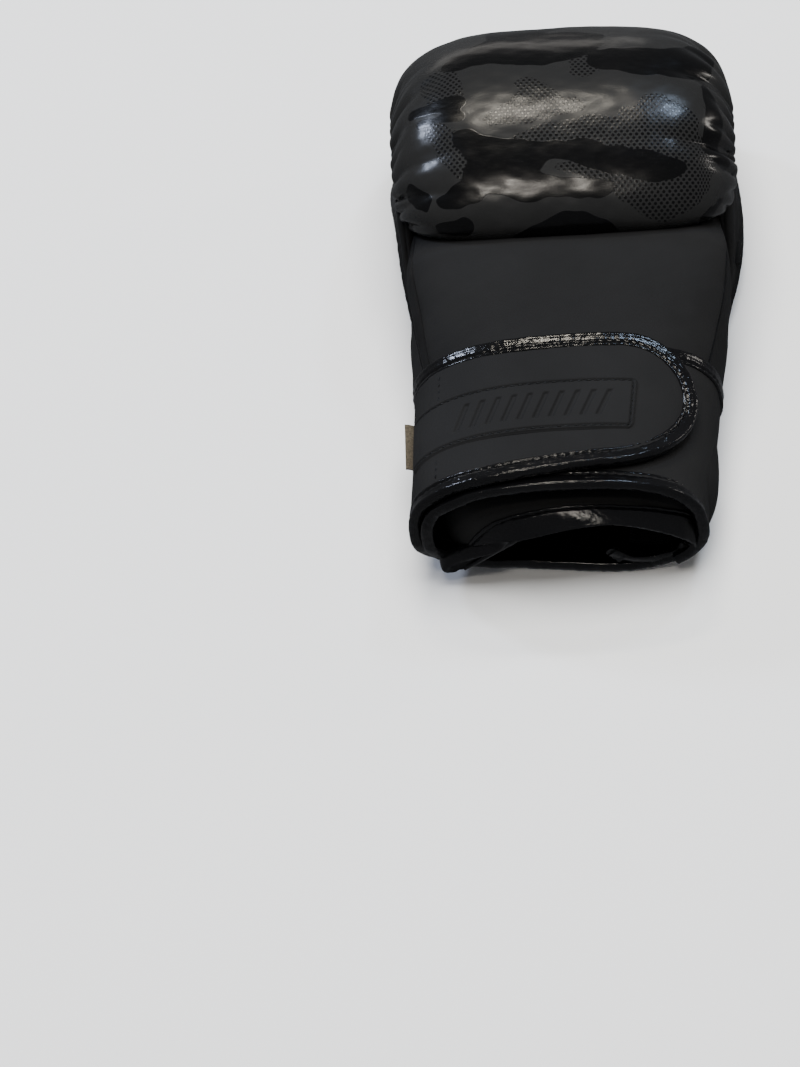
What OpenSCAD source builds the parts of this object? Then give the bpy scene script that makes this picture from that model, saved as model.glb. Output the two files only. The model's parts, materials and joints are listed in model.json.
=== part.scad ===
// Open-palm martial arts training glove for the right hand, lying palm down.
// +Y runs from the wrist to the fingers, +X to the little finger, +Z up.
// The origin is under the middle of the glove, on the table. Millimetres.

/* [Overall] */
// Width across the knuckle pad
glove_w = 130; // [126:1:134]
// Length from the cuff's rim to the front of the knuckle pad
glove_l = 221; // [218:1:224]
// Height of the knuckle pad above the table
glove_h = 88; // [86:1:90]

/* [Knuckle pad] */
// Distance from the pad's pivot line to its front
pad_reach = 65.5; // [64:0.5:67]
// Height of the pad's pivot line
pad_pivot_z = 27; // [26:0.5:28]
// Angle of the pad's lower rim below the pivot line
rim_angle = 24; // [20:1:26]
// Half width of the finger space inside the pad
finger_space_hw = 50; // [48:1:51]
// Height of the finger space above the pivot line
finger_space_h = 33; // [31:1:34]
// Distance from the pivot line to the front of the finger space
finger_space_reach = 45; // [43:1:46]

/* [Wrist and strap] */
// Width of the whole wound strap across the wrist
wrist_w = 118; // [116:1:120]
// Height of the whole wound strap
wrist_h = 61; // [60:0.5:62]
// Width of the strap from edge to edge
strap_w = 60; // [56:1:62]
// Thickness of the strap
strap_t = 3; // [2.6:0.1:3.2]
// Width of the glossy edge tape
tape_w = 3.4; // [3:0.1:4]
// How far the cuff stands out behind the strap
cuff_out = 5; // [4:0.5:6]

/* [Leather] */
// Thickness of the leather covers
skin_t = 1.6; // [1.2:0.1:1.8]
// Thickness of the foam on the back of the hand
back_foam_t = 4.5; // [4:0.1:4.8]

/* [Hidden] */
$fn = 48;
gap = 0.3;                                  // clearance between two layers
rear_y = -glove_l / 2;                      // cuff's rim
front_y = glove_l / 2;                      // front of the pad
pad_y = front_y - pad_reach;                // pivot line of the pad
pad_z = pad_pivot_z;
pad_rise = glove_h - pad_z;                 // pivot line to the top of the pad
pad_n = 5;                                  // squareness of the pad's cross-section
side_v = 14;                                // where the pad's cover ends on each side
pad_hw = glove_w / 2 / pow(cos(side_v), 2 / pad_n);
roll_back = 42;                             // length of the pad's roll behind its top
roll_drop = 24;                             // drop of that roll to the knuckle seam
seam_angle = atan2(pad_rise - roll_drop, -roll_back);   // knuckle seam, seen from the pivot line
hinge_y = pad_y - roll_back - 0.5;          // knuckle flex line
hinge_z = pad_z + pad_rise - roll_drop + 0.5;
seam_y = hinge_y - 0.7;                     // front edge of the back of the hand
flex_down = 15;                             // how far the pad folds towards the palm
strap_rear = rear_y + cuff_out;
strap_front = strap_rear + strap_w;
hand_rear = strap_front + 1;                // the hand part starts in front of the strap
wrap_depth = 4.4;                           // depth of the strap's first turn on the back
cuff_t = 3.5;
lining_t = 1.2;
tip_x = 49;                                 // end of the strap's tongue
tip_hinge_x = 35;                           // where the tongue's free tip bends
rib_hw = 1.1;                               // half thickness of the finger dividers
rope_sides = 8;

// ---- curves and surfaces -------------------------------------------------
function spow(x, p) = sign(x) * pow(abs(x), p);
function mix(a, b, t) = a + (b - a) * t;
function unit(v) = v / norm(v);
function ease(t) = let (c = min(1, max(0, t))) c * c * (3 - 2 * c);

// A closed oval: v 0 little-finger side, 90 back of the hand, 180 thumb side, 270 palm.
// square_n is how square its upper half is; the palm side is flattened where it rests on the table.
function oval(half_w, mid, top, foot, square_n, v, depth) =
    let (n = sin(v) >= 0 ? square_n : 3.2,
         up = (top - mid - depth) * spow(sin(v), 2 / n),
         down = -min(mid - foot - depth, (mid - foot + 2 - depth) * pow(abs(sin(v)), 2 / n)))
    [(half_w - depth) * spow(cos(v), 2 / n), mid + (sin(v) >= 0 ? up : down)];

// Outside of the wound strap, in the XZ plane.
function wrist(v, depth) = oval(wrist_w / 2, 30, wrist_h, 0, 2.5, v, depth);

// Outside of the hand between strap and knuckles.
function hand(y, v, depth) =
    let (s = (y - hand_rear) / (seam_y - hand_rear),
         p = oval(mix(56, 62, s), mix(29, 31, s), mix(57, hinge_z, s), mix(4, 2, s), mix(2.5, 4.5, s), v, depth))
    [p[0], y, p[1]];

// Distance from the pivot line to the outside of the pad at angle a above +Y.
function pad_radius(a) =
    a <= 90 ? 1 / sqrt(pow(cos(a) / pad_reach, 2) + pow(sin(a) / pad_rise, 2)) :
    let (drop = pad_rise - roll_drop,
         qa = pow(cos(a) / roll_back, 2) + pow(sin(a) / roll_drop, 2),
         qb = -2 * drop * sin(a) / pow(roll_drop, 2),
         qc = pow(drop / roll_drop, 2) - 1)
    (-qb + sqrt(max(0, qb * qb - 4 * qa * qc))) / (2 * qa);

// Distance from the pivot line to the finger space.
function space_radius(a) =
    a <= 90 ? 1 / sqrt(pow(cos(a) / finger_space_reach, 2) + pow(sin(a) / finger_space_h, 2)) :
    finger_space_h / sin(a);

function around_pivot(half_w, radius, a, v) =
    let (r = radius * pow(sin(v), 2 / pad_n))
    [half_w * spow(cos(v), 2 / pad_n), pad_y + r * cos(a), pad_z + r * sin(a)];

function pad_outside(a, v, depth) = around_pivot(pad_hw - depth, pad_radius(a) - depth, a, v);
function pad_inside(a, v, out) =
    around_pivot(finger_space_hw + out, space_radius(a) + out, a, v);

// The side walls of hand and pad lean apart below the flex line, which leaves room to fold down.
function wall_front(z) = seam_y - 0.3 - max(0, hinge_z - z) * tan(flex_down / 2);
function pad_wall_rear(z) = hinge_y + 1 + max(0, hinge_z - z) * tan(flex_down / 2);

// Thumb sheath: an oval around the thumb, wide at the wrist and slim at the tip.
thumb_rear = hand_rear + 0.8;
thumb_front = 46;
function thumb(y, v, depth) =
    let (s = (y - thumb_rear) / (thumb_front - thumb_rear),
         hw = mix(26, 13.5, pow(s, 0.8)) - depth,
         hh = mix(17, 13.5, s) - depth)
    [-60.5 + mix(26, 13.5, pow(s, 0.8)) + hw * spow(cos(v), 0.8), y,
     mix(19, 17.5, s) + hh * spow(sin(v), 0.8)];
// The thumb cover's two edges: on the palm and between thumb and hand.
function thumb_palm_edge(s) = mix(338, 262, pow(s, 0.75));
function thumb_hand_edge(s) = mix(82, 112, s);

// Palm panel under the fingers, with one hollow per finger in its front edge.
panel_left = -27;
panel_right = 55;
panel_rear = 22;
finger_pitch = (panel_right - panel_left) / 4;
function finger_start(i) = panel_left + i * finger_pitch;    // i 0 index to 3 little
function panel_edge_y(x) = 58 - 8 * pow(abs(sin(180 * (x - panel_left) / finger_pitch)), 0.7);
function panel_z(x, y) = 9 + 9 * pow((y - panel_rear) / 36, 2) + 3 * pow(x / 60, 2);

// Heel panel's curved front edge at x.
function heel_edge_y(x) =
    let (q = min(1, max(0, (60 - x) / 57))) -9 - 30 * (1 - sqrt(1 - q * q));

// ---- builders --------------------------------------------------------------
// A sheet with thickness: f(s, t, k) is a point for s, t from 0 to 1, k 0 on one face and 1 on the other.
module slab(f, nu, nv) {
    row = nv + 1;
    face = (nu + 1) * row;
    a = f(0.5, 0.5, 0);
    facing = cross(f(0.52, 0.5, 0) - a, f(0.5, 0.52, 0) - a) * (a - f(0.5, 0.5, 1));
    function quad(p, q, r, s) = [[p, q, r], [p, r, s]];
    function at(k, i, j) = k * face + i * row + j;
    faces = [
        for (i = [0 : nu - 1]) for (j = [0 : nv - 1])
            each concat(quad(at(0, i, j), at(0, i, j + 1), at(0, i + 1, j + 1), at(0, i + 1, j)),
                        quad(at(1, i, j), at(1, i + 1, j), at(1, i + 1, j + 1), at(1, i, j + 1))),
        for (i = [0 : nu - 1])
            each concat(quad(at(0, i, 0), at(0, i + 1, 0), at(1, i + 1, 0), at(1, i, 0)),
                        quad(at(0, i + 1, nv), at(0, i, nv), at(1, i, nv), at(1, i + 1, nv))),
        for (j = [0 : nv - 1])
            each concat(quad(at(0, 0, j + 1), at(0, 0, j), at(1, 0, j), at(1, 0, j + 1)),
                        quad(at(0, nu, j), at(0, nu, j + 1), at(1, nu, j + 1), at(1, nu, j)))
    ];
    points = [for (k = [0, 1]) for (i = [0 : nu]) for (j = [0 : nv]) f(i / nu, j / nv, k)];
    polyhedron(points, facing > 0 ? faces : [for (t = faces) [t[0], t[2], t[1]]], convexity = 8);
}

// A round edge tape swept along a path. up is any direction the path never takes.
module rope(path, radius, up) {
    last = len(path) - 1;
    rings = [for (i = [0 : last])
        let (along = unit(path[min(i + 1, last)] - path[max(i - 1, 0)]),
             side = unit(cross(along, up)),
             over = cross(side, along))
        each [for (k = [0 : rope_sides - 1])
            let (b = 360 * k / rope_sides) path[i] + radius * (cos(b) * side + sin(b) * over)]];
    function at(i, k) = i * rope_sides + k % rope_sides;
    walls = [for (i = [0 : last - 1]) for (k = [0 : rope_sides - 1])
        each [[at(i, k), at(i, k + 1), at(i + 1, k + 1)], [at(i, k), at(i + 1, k + 1), at(i + 1, k)]]];
    polyhedron(rings, concat(walls,
        [[for (k = [rope_sides - 1 : -1 : 0]) at(0, k)], [for (k = [0 : rope_sides - 1]) at(last, k)]]),
        convexity = 8);
}

// A band around the wrist from v0 to v1, between two depths that may change with v, y0 to y1.
module wrist_band(v0, v1, outer, inner, y0, y1, steps) {
    outline = concat([for (i = [0 : steps]) let (v = mix(v0, v1, i / steps)) wrist(v, outer(v))],
                     [for (i = [steps : -1 : 0]) let (v = mix(v0, v1, i / steps)) wrist(v, inner(v))]);
    translate([0, y1, 0]) rotate([90, 0, 0]) linear_extrude(y1 - y0) polygon(outline);
}

// A flat plate in a YZ outline, from x0 to x1.
module side_plate(x0, x1) {
    translate([x0, 0, 0]) rotate([90, 0, 90]) linear_extrude(x1 - x0) children();
}

function flat(depth) = function (v) depth;

// ---- knuckle pad and finger part ---------------------------------------------
function pad_a(s) = mix(seam_angle, -rim_angle, s);
function pad_v(t) = mix(side_v, 180 - side_v, t);

module knuckle_pad_cover() {
    color("#1c1c1e") slab(function (s, t, k) pad_outside(pad_a(s), pad_v(t), k * skin_t), 18, 16);
}

module knuckle_pad_foam() {
    color("#55555a") slab(function (s, t, k)
        k == 0 ? pad_outside(pad_a(s), pad_v(t), skin_t + gap) : pad_inside(pad_a(s), pad_v(t), lining_t + 2 * gap), 16, 14);
}

module finger_lining() {
    color("#202022") slab(function (s, t, k) pad_inside(pad_a(s), pad_v(t), lining_t * (1 - k)), 16, 14);
}

module pad_rim_binding() {
    a = -rim_angle - 3.6;                       // just beyond the cover's edge
    color("#0a0a0b") rope([for (i = [0 : 20]) let (v = mix(side_v + 2, 178 - side_v, i / 20))
        (pad_outside(a, v, 0) + pad_inside(a, v, 0)) / 2], 2, [0, 0.4, 1]);
}

// The part of a side wall's outline that follows the inside of the pad.
function pad_wall_arc(from, to) =
    [for (i = [0 : 10]) let (a = mix(from, to, i / 10)) [pad_y, pad_z] + 26 * [cos(a), sin(a)]];

module pad_side_wall_little() {
    color("#26262a") side_plate(57, 59.5)
        polygon(concat([[pad_wall_rear(43), 43], [pad_wall_rear(4), 4]], pad_wall_arc(-62, 140)));
}

module pad_side_wall_index() {
    color("#26262a") side_plate(-59.5, -57)
        polygon(pad_wall_arc(35, 143));
}

module palm_panel() {
    color("#2b2b2e") slab(function (s, t, k)
        let (x = mix(panel_left, panel_right, t), y = mix(panel_rear, panel_edge_y(x), s))
        [x, y, panel_z(x, y) + (k - 0.5) * 2.2], 5, 32);
}

module palm_panel_binding() {
    color("#0a0a0b") rope([for (i = [0 : 10]) let (x = mix(panel_left, panel_right, i / 10))
        [x, panel_rear - 1.9, panel_z(x, panel_rear)]], 1.6, [0, 0, 1]);
}

module finger_divider(i) {
    x = finger_start(i + 1);
    color("#232326") side_plate(x - rib_hw, x + rib_hw)
        polygon([[61.5, 23.5], [68, 24], [64, 50], [58, 55.5], [46, 58], [52, 40]]);
}

module finger_edge(i) {
    left = finger_start(i) + 1.9;
    right = finger_start(i + 1) - 1.9;
    color("#0a0a0b") rope([for (j = [0 : 12]) let (x = mix(left, right, j / 12), y = panel_edge_y(x) + 2.9)
        [x, y, panel_z(x, y) + 0.4]], 1.4, [0, 0, 1]);
}

// ---- back of the hand, sides and heel ------------------------------------------
module back_panel_cover() {
    color("#2a2a2d") slab(function (s, t, k)
        hand(mix(hand_rear, seam_y, s), mix(38, 142, t), k * skin_t), 5, 12);
}

module back_panel_foam() {
    color("#55555a") slab(function (s, t, k)
        hand(mix(hand_rear, seam_y, s), mix(38, 142, t), skin_t + gap + k * back_foam_t), 5, 12);
}

module hand_lining() {
    color("#18181a") slab(function (s, t, k)
        hand(mix(hand_rear, seam_y - 1, s), mix(-20, 160, t), skin_t + back_foam_t + 2 * gap + k), 5, 16);
}

module side_wall_little() {
    color("#26262a") slab(function (s, t, k)
        let (v = mix(-34, 36.5, t), z = hand(0, v, 0)[2]) hand(mix(hand_rear, wall_front(z), s), v, 0.5 + k * 2.5), 5, 10);
}

module side_wall_index() {
    color("#26262a") slab(function (s, t, k)
        let (v = mix(143.5, mix(171, 177, s), t), z = hand(0, v, 0)[2]) hand(mix(hand_rear, wall_front(z), s), v, 0.5 + k * 2.5), 5, 6);
}

module knuckle_welt() {
    color("#121214") rope([for (i = [0 : 14]) let (p = hand(seam_y - 2, mix(44, 136, i / 14), -1.2)) p], 1, [0, 0.2, 1]);
}

module heel(depth0, depth1, inset) {
    slab(function (s, t, k)
        let (v = mix(-37, -86, t), x = hand(-30, v, depth0)[0])
        hand(mix(hand_rear, heel_edge_y(x) - inset, s), v, mix(depth0, depth1, k)), 6, 12);
}

module heel_panel() {
    color("#2a2a2d") heel(0, skin_t, 0);
}

module heel_foam() {
    color("#55555a") heel(skin_t + gap, skin_t + gap + 3, 2);
}

module heel_binding() {
    color("#0a0a0b") rope([for (i = [0 : 14]) let (v = mix(-38, -85.5, i / 14), x = hand(-30, v, 0)[0])
        hand(heel_edge_y(x) + 2.1, v, 2.2)], 1.7, [0.3, 0, 1]);
}

// ---- cuff and strap ---------------------------------------------------------------
// The cuff lies close to the strap at the palm and sags away from it on the back of the wrist.
function cuff_depth(v) = mix(4.6, 11, ease((sin(v) + 1) / 2));

module cuff(outer, inner, y0, y1) {
    wrist_band(-62, 242, function (v) cuff_depth(v) + outer, function (v) cuff_depth(v) + inner, y0, y1, 30);
}

module cuff_shell() {
    color("#2a2a2d") cuff(0, cuff_t, rear_y + tape_w, strap_front - 1);
}

module cuff_lining() {
    color("#18181a") cuff(cuff_t + gap, cuff_t + gap + 1, rear_y + tape_w, strap_front - 1);
}

module cuff_binding() {
    color("#0a0a0b") cuff(-0.4, cuff_t + 1.6, rear_y, rear_y + tape_w - gap);
}

// The strap starts under itself on the back of the thumb side and comes out at the little-finger side.
function first_turn_depth(v) = wrap_depth * ease((v + 20) / 44);

module first_turn(y0, y1) {
    wrist_band(148, -30, function (v) first_turn_depth(v),
        function (v) first_turn_depth(v) + strap_t - 0.4, y0, y1, 30);
}

module palm_band(y0, y1) {
    wrist_band(-31, -179.6, flat(0), flat(strap_t), y0, y1, 24);
}

module strap_first_turn() {
    color("#2a2a2d") first_turn(strap_rear + tape_w + gap, strap_front - tape_w - gap);
}

module strap_first_turn_tape() {
    color("#0a0a0b") for (y = [strap_rear, strap_front - tape_w]) first_turn(y, y + tape_w);
}

module strap_palm_band() {
    color("#2f2f32") palm_band(strap_rear + tape_w + gap, strap_front - tape_w - gap);
}

module strap_palm_band_tape() {
    color("#0a0a0b") for (y = [strap_rear, strap_front - tape_w]) palm_band(y, y + tape_w);
}

module loop_field() {
    color("#161617") wrist_band(128, 34, flat(wrap_depth - 0.6), flat(wrap_depth - 0.1),
        strap_rear + 8, strap_front - 8, 18);
}

// Plan of the tongue seen from above: straight, with a round end; inset draws it smaller.
module tongue_plan(inset, x0, x1) {
    intersection() {
        translate([0, 0, -5]) linear_extrude(glove_h) union() {
            translate([-80, strap_rear + inset]) square([80 + tip_x - strap_w / 2, strap_w - 2 * inset]);
            translate([tip_x - strap_w / 2, (strap_rear + strap_front) / 2]) circle(strap_w / 2 - inset, $fn = 72);
        }
        translate([x0, strap_rear - 1, -6]) cube([x1 - x0, strap_w + 2, glove_h + 4]);
    }
}

module tongue_band(outer, inner) {
    wrist_band(179.4, 27, flat(outer), flat(inner), strap_rear, strap_front, 36);
}

module tongue_face(x0, x1) {
    intersection() {
        tongue_band(0.2, strap_t);
        tongue_plan(tape_w + gap, x0, x1);
    }
}

module tongue_tape(x0, x1) {
    intersection() {
        tongue_band(0, strap_t);
        difference() {
            tongue_plan(0, x0, x1);
            tongue_plan(tape_w, x0 - 1, x1 + 1);
        }
    }
}

module strap_tongue() {
    color("#2a2a2d") tongue_face(-70, tip_hinge_x - 0.5);
}

module strap_tongue_tape() {
    color("#0a0a0b") tongue_tape(-70, tip_hinge_x - 0.5);
}

module strap_tip() {
    color("#2a2a2d") tongue_face(tip_hinge_x + 0.5, 70);
}

module strap_tip_tape() {
    color("#0a0a0b") tongue_tape(tip_hinge_x + 0.5, 70);
}

module hook_field() {
    color("#101011") intersection() {
        wrist_band(126, 40, flat(strap_t + 0.1), flat(strap_t + 0.6), strap_rear + 8, strap_front - 8, 18);
        translate([-60, -200, 0]) cube([60 + tip_hinge_x - 1, 400, 100]);
    }
}

module blank_patch() {
    color("#242427") wrist_band(158, 68, flat(-0.8), flat(-0.05),
        strap_rear + 14.5, strap_front - 20, 18);
}

module size_tab() {
    color("#3a362c") translate([-64.9, strap_rear + 30, 23.5]) cube([5.8, 21, 1.2]);
}

// ---- thumb ---------------------------------------------------------------------------
module thumb_layer(depth0, depth1, trim) {
    slab(function (s, t, k)
        let (v = mix(thumb_hand_edge(s) + trim, thumb_palm_edge(s) - trim, t))
        thumb(mix(thumb_rear, thumb_front, s), v, mix(depth0, depth1, k)), 10, 14);
}

module thumb_cover() {
    color("#2f2f32") thumb_layer(0, 1.4, 0);
}

module thumb_foam() {
    color("#55555a") thumb_layer(1.7, 4.4, 3);
}

module thumb_lining() {
    color("#18181a") thumb_layer(4.7, 5.5, 2);
}

module thumb_binding() {
    color("#0a0a0b") rope(concat(
        [for (i = [0 : 12]) let (s = i / 12)
            thumb(mix(thumb_rear + 1.5, thumb_front + 1.6, s), thumb_palm_edge(s) + 5 + 3 * s, 1)],
        [for (i = [1 : 8])
            thumb(thumb_front + 2.2, mix(262, 112, i / 8), 1)]), 1.5, [0.3, 0.5, 1]);
}

knuckle_pad_cover();
knuckle_pad_foam();
finger_lining();
pad_rim_binding();
pad_side_wall_little();
pad_side_wall_index();
palm_panel();
palm_panel_binding();
finger_divider(0);  // finger_divider_index
finger_divider(1);  // finger_divider_middle
finger_divider(2);  // finger_divider_ring
finger_edge(0);  // finger_edge_index
finger_edge(1);  // finger_edge_middle
finger_edge(2);  // finger_edge_ring
finger_edge(3);  // finger_edge_little
back_panel_cover();
back_panel_foam();
hand_lining();
side_wall_little();
side_wall_index();
knuckle_welt();
heel_panel();
heel_foam();
heel_binding();
cuff_shell();
cuff_lining();
cuff_binding();
strap_first_turn();
strap_first_turn_tape();
loop_field();
strap_palm_band();
strap_palm_band_tape();
size_tab();
strap_tongue();
strap_tongue_tape();
hook_field();
blank_patch();
strap_tip();
strap_tip_tape();
thumb_cover();
thumb_foam();
thumb_lining();
thumb_binding();
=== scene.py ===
"""The looks of an open-palm sparring glove: leather, patent edge tapes, linings, folds and stitches."""
import json
import math

import bpy
import numpy as np
from mathutils import Matrix, Vector


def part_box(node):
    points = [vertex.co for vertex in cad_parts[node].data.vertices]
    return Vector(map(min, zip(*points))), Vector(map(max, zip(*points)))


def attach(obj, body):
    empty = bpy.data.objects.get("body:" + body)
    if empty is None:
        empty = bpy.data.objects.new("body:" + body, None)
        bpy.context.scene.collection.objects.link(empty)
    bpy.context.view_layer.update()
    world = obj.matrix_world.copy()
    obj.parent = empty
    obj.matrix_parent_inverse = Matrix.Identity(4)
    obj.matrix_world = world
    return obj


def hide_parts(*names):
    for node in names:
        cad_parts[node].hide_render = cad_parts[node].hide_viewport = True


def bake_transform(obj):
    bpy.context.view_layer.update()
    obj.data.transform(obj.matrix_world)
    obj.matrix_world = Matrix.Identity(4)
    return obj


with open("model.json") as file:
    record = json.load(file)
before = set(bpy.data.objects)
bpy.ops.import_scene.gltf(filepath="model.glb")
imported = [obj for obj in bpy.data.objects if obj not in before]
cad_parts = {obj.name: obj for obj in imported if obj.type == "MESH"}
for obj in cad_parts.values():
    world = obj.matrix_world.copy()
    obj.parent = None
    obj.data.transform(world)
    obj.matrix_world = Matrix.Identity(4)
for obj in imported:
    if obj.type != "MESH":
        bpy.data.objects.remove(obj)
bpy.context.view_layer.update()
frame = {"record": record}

MM = 0.001          # geometry below is in millimetres


def box_mm(node):
    low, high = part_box(node)
    return np.array(low) / MM, np.array(high) / MM


# ---- driving dimensions, from the frame
PAD_HIGH = box_mm("knuckle_pad_cover")[1]
BAND_LOW, BAND_HIGH = box_mm("strap_palm_band_tape")
HINGE = {j["name"]: np.array(j["pos_m"]) / MM for j in frame["record"]["behaviour"]["joints"]}

PAD_REACH = 65.5                        # pivot line to the pad's front
PIVOT_Y, PIVOT_Z = PAD_HIGH[1] - PAD_REACH, 27.0
PAD_RISE = PAD_HIGH[2] - PIVOT_Z
PAD_N = 5.0                             # squareness of the pad's cross-section
PAD_HW = PAD_HIGH[0] - 0.2
EDGE_PSI = 29.9                         # where the cover ends on each side, seen in that section
ROLL_BACK, ROLL_DROP = 46.0, 24.0       # the pad's roll behind its top
SEAM_A = math.degrees(math.atan2(PAD_RISE - ROLL_DROP, -ROLL_BACK))
RIM_A = -24.0
SEAM_PINCH = 9.5                        # how far each end of the knuckle seam is drawn in
SPACE_HW, SPACE_REACH, SPACE_RISE = 50.0, 45.0, 33.0    # finger space inside the pad
SPACE_GAP = 1.6                         # room for the lining between that space and the pad

CUFF_REAR = box_mm("cuff_binding")[0][1]
STRAP_REAR, STRAP_FRONT = BAND_LOW[1], BAND_HIGH[1]
STRAP_MID = (STRAP_REAR + STRAP_FRONT) / 2
STRAP_R = (STRAP_FRONT - STRAP_REAR) / 2
WRIST_HW, WRIST_TOP, WRIST_MID = 59.0, box_mm("strap_tongue_tape")[1][2], 30.0
WRIST_LEAN = 8.0                        # the wrist drifts towards the thumb side by this much
TIP_X = box_mm("strap_tip_tape")[1][0]
STITCH_X = -53.0                        # seam between the strap's side stretch and its tongue
PATCH_LEFT, PATCH_RIGHT, PATCH_R = -57.2, 27.0, 3.2
PATCH_LOW, PATCH_HIGH = STRAP_REAR + 17.0, STRAP_FRONT - 19.5
HAND_REAR, SEAM_Y = STRAP_FRONT + 1, HINGE["knuckle_flex"][1] - 0.7
TUCKED_Y = HAND_REAR - 9                # rear end of the hand's panels, under the strap
KNUCKLE_Z = HINGE["knuckle_flex"][2]
PANEL_LEFT, PANEL_RIGHT, PANEL_REAR = -27.0, 55.0, 22.0     # palm panel
FINGERS = ("index", "middle", "ring", "little")
PITCH = 20.5                            # from finger to finger
THUMB_REAR, THUMB_FRONT = -43.7, 46.0
THUMB_SEAM = 281.0                      # where the thumb pocket's seam runs, in degrees round the sheath

TAPE_W = 5.0
GROOVE_IN, GROOVE_PACE = 1.5, 3.1       # a tape's sewn groove: from its inner edge, and its stitch length
WALL = 60                               # points along each side wall's lower edge

# Lower edges of the side walls, as if both lay on the little-finger side.
LITTLE_EDGE = [(50, TUCKED_Y, 11), (53.5, -22, 7), (57, 0, 8.5), (63, 18, 13), (66, 36, 17),
               (66, 52, 19), (65.3, 64, 18), (64.8, 74, 15)]
INDEX_EDGE = [(52, TUCKED_Y, 30), (57, -20, 34), (61, 8, 35), (63, 34, 33), (65, 56, 24), (65, 73, 15.5)]

# Where soft pieces bend: the two bodies, and the start and end of the bend in metres.
FINGER_BEND = ("glove_body", "finger_pad", (0, -0.022, 0.03), (0, 0.02, 0.03))
BACK_BEND = ("glove_body", "finger_pad", (0, -0.015, 0.06), (0, -0.003, 0.06))
LINING_BEND = ("glove_body", "finger_pad", (0, -0.013, 0.055), (0, 0.006, 0.055))
STRAP_BEND = ("glove_body", "strap_tongue", (-0.059, -0.0755, 0.0255), (-0.059, -0.0755, 0.0345))
TIP_BEND = ("strap_tongue", "strap_tip", (0.032, -0.0755, 0.057), (0.038, -0.0755, 0.057))
THUMB_BEND = ("glove_body", "thumb", (-0.04, -0.045, 0.02), (-0.04, -0.010, 0.02))


# ---- curves
def mix(a, b, t):
    return a + (b - a) * t


def ease(t):
    t = np.clip(t, 0, 1)
    return t * t * (3 - 2 * t)


def unit(v):
    return v / np.maximum(np.linalg.norm(v, axis=-1, keepdims=True), 1e-9)


def points(x, y, z):
    return np.stack(np.broadcast_arrays(x, y, z), -1)


def lengths(path):
    """Walked length at each point of a path."""
    return np.concatenate([[0], np.cumsum(np.linalg.norm(np.diff(path, axis=0), axis=1))])


def read_at(marks, length, values):
    return np.stack([np.interp(marks, length, column) for column in values.T], -1)


def walk(path, step, *more):
    """The same path with points an even step apart; more lists are carried along with it."""
    length = lengths(path)
    marks = np.linspace(0, length[-1], max(3, int(length[-1] / step) + 1))
    lists = [np.broadcast_to(v, (len(path), np.shape(v)[-1])) for v in (path, *more)]
    out = [read_at(marks, length, v) for v in lists]
    return out if more else out[0]


def spread(path, count):
    """The same path with count points, evenly spread."""
    length = lengths(path)
    return read_at(np.linspace(0, length[-1], count), length, path)


def curve(placed, step=0.8):
    """A smooth Catmull-Rom path through given points."""
    p = np.array(placed, float)
    p = np.concatenate([2 * p[:1] - p[1:2], p, 2 * p[-1:] - p[-2:-1]])
    t = np.linspace(0, 1, 24, endpoint=False)[:, None]
    parts = [0.5 * (2 * b + (c - a) * t + (2 * a - 5 * b + 4 * c - d) * t ** 2
                    + (3 * b - a - 3 * c + d) * t ** 3) for a, b, c, d in zip(p, p[1:], p[2:], p[3:])]
    return walk(np.concatenate(parts + [p[-2:-1]]), step)


def between(first, second, along, across):
    """A grid of points between two smooth paths, each through given points."""
    first, second = (spread(curve(placed), along)[:, None] for placed in (first, second))
    return mix(first, second, np.linspace(0, 1, across)[None, :, None])


def smooth(values, times):
    """Evens out a list along its first axis, in place, with its ends kept."""
    for _ in range(times):
        values[1:-1] = (values[:-2] + 2 * values[1:-1] + values[2:]) / 4


def sample(rows, columns):
    """Two grids of 0..1 values, along and across."""
    return np.meshgrid(np.linspace(0, 1, rows), np.linspace(0, 1, columns), indexing="ij")


def facing(vectors, way):
    """The vectors, each turned round where it points against way."""
    return vectors * np.sign(np.sum(vectors * way, -1, keepdims=True))


def grid_normal(grid):
    return unit(np.cross(np.gradient(grid, axis=0), np.gradient(grid, axis=1)))


def ripple(p, scale, seed):
    """Smooth noise between about -1 and 1, with features about scale long."""
    rng = np.random.default_rng(seed)
    total = np.zeros(p.shape[:-1])
    for _ in range(10):
        way = unit(rng.normal(size=3)) * rng.uniform(0.6, 1.6) * 2 * math.pi / scale
        total += np.sin(p @ way + rng.uniform(0, 2 * math.pi))
    return total / 3.5


# ---- surfaces of the hand, the pad and the wrist
def squircle(psi, n):
    """Point on a unit superellipse of squareness n, in the direction psi degrees."""
    c, s = np.cos(np.radians(psi)), np.sin(np.radians(psi))
    r = (np.abs(c) ** n + np.abs(s) ** n) ** (-1 / n)
    return c * r, s * r


def section(half_w, mid, top, foot, n, psi):
    """x and z of a closed oval: psi 0 little-finger side, 90 back of the hand, 180 thumb, 270 palm."""
    upper = squircle(psi, n)
    lower = squircle(psi, 2.5)
    is_up = np.sin(np.radians(psi)) >= 0
    x = half_w * np.where(is_up, upper[0], lower[0])
    down = -np.minimum(mid - foot, -(mid - foot + 2) * lower[1])
    return x, mid + np.where(is_up, (top - mid) * upper[1], down)


def lean(y):
    """Sideways drift of the wrist, growing from the palm to the cuff's rim."""
    return -WRIST_LEAN * np.clip((-20 - y) / (-20 - STRAP_REAR), 0, 1.1) ** 1.2


def hand(y, psi, depth=0.0):
    """The hand part's outside between strap and knuckles."""
    s = (y - HAND_REAR) / (SEAM_Y - HAND_REAR)
    x, z = section(mix(53.5, 62, s) - depth, mix(29, 31, s), mix(57, KNUCKLE_Z, s) - depth,
                   mix(4, 2, s) + depth, mix(2.5, 4.5, s), psi)
    return points(x + lean(y), y, z)


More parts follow.
